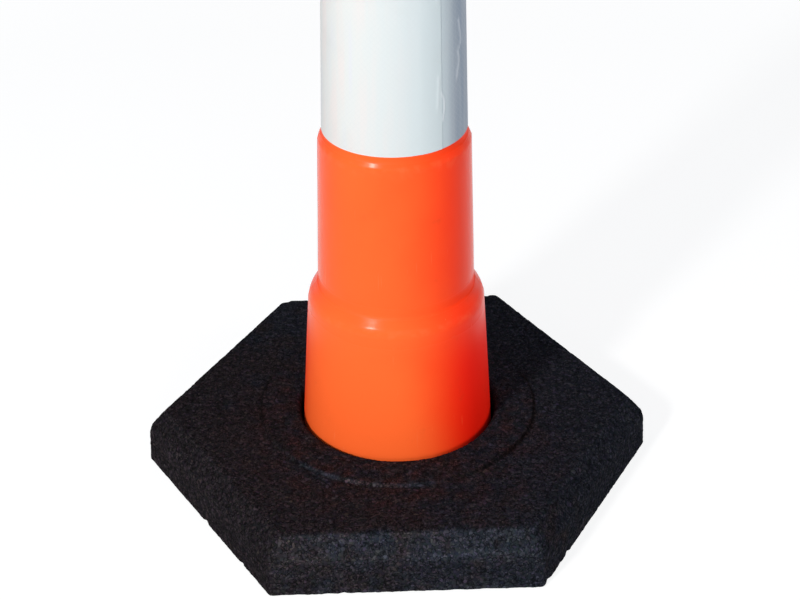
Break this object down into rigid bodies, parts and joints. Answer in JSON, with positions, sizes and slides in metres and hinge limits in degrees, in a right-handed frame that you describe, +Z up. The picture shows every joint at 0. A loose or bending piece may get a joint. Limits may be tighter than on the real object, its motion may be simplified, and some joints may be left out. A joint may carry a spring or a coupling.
{
  "type": "rubber delineator base",
  "caption": "Heavy hexagonal crumb-rubber base dropped over the conical skirt of a short orange traffic delineator post with a white reflective band.",
  "frame": {"origin": "on the ground under the post's axis, in the middle of the base's underside", "axes": "+Z up along the post; two points of the hexagon lie on the X axis; -Y faces the flat side that is nearest in the picture"},
  "size_m": [0.3798, 0.3298, 0.4572],
  "materials": {
    "crumb_rubber": "matte",
    "orange_plastic": "satin",
    "white_sheeting": "satin"
  },
  "bodies": {
    "post": {"delineator_post": "orange_plastic", "reflective_band": "white_sheeting"},
    "base": {"rubber_base": "crumb_rubber"}
  },
  "joints": [
    {"name": "base_lift", "type": "slide", "parent": "post", "child": "base", "axis": [0, 0, 1], "range_m": [0, 0.47]}
  ]
}
